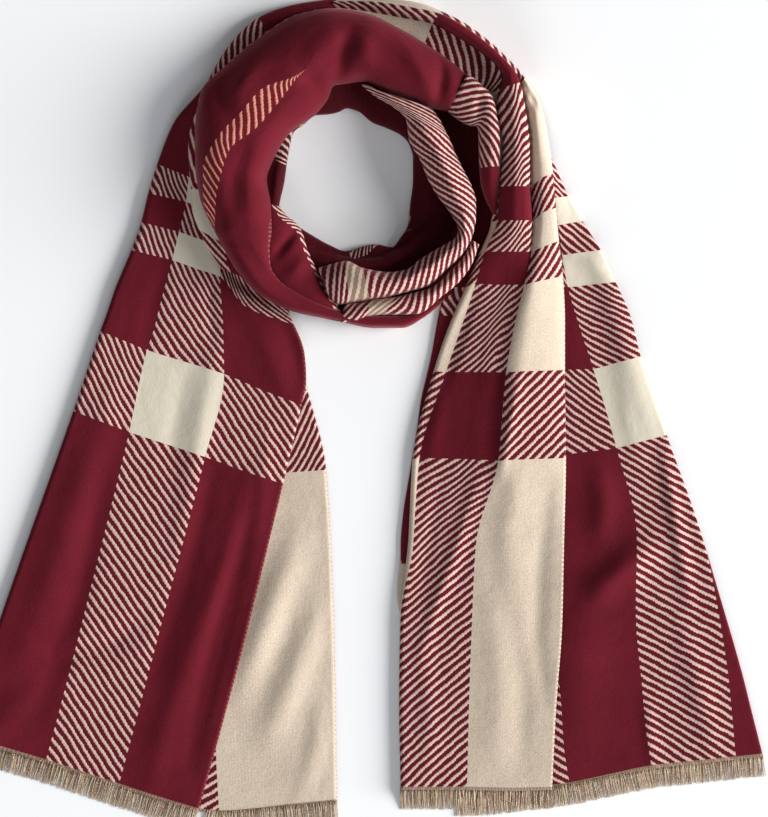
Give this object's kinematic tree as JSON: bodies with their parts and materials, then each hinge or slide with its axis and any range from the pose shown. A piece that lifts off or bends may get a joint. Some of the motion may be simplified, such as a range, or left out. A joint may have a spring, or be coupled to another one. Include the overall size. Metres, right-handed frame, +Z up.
{
  "type": "checked blanket scarf",
  "caption": "Long double-faced checked blanket scarf, laid flat and wound round an empty neck opening, with its fringed tails folded lengthwise.",
  "frame": {"origin": "middle of the scarf's outline, on the surface that it lies on", "axes": "+Z up from the surface, +Y from the hems towards the neck opening, +X to the right seen from above"},
  "size_m": [0.7293, 0.756, 0.0448],
  "materials": {
    "checked_cloth": "soft double-faced twill with a light nap, burgundy, tan and cream",
    "fringe_yarn": "loose matte yarn ends"
  },
  "bodies": {
    "root": {"left_tail": "checked_cloth", "right_tail": "checked_cloth", "neck_collar": "checked_cloth", "back_strand": "checked_cloth", "front_strand": "checked_cloth", "lower_strand": "checked_cloth", "inner_strand": "checked_cloth", "right_shoulder": "checked_cloth", "left_tail_fringe": "fringe_yarn", "left_under_fringe": "fringe_yarn", "right_flap_fringe": "fringe_yarn", "right_under_fringe": "fringe_yarn"}
  },
  "joints": []
}
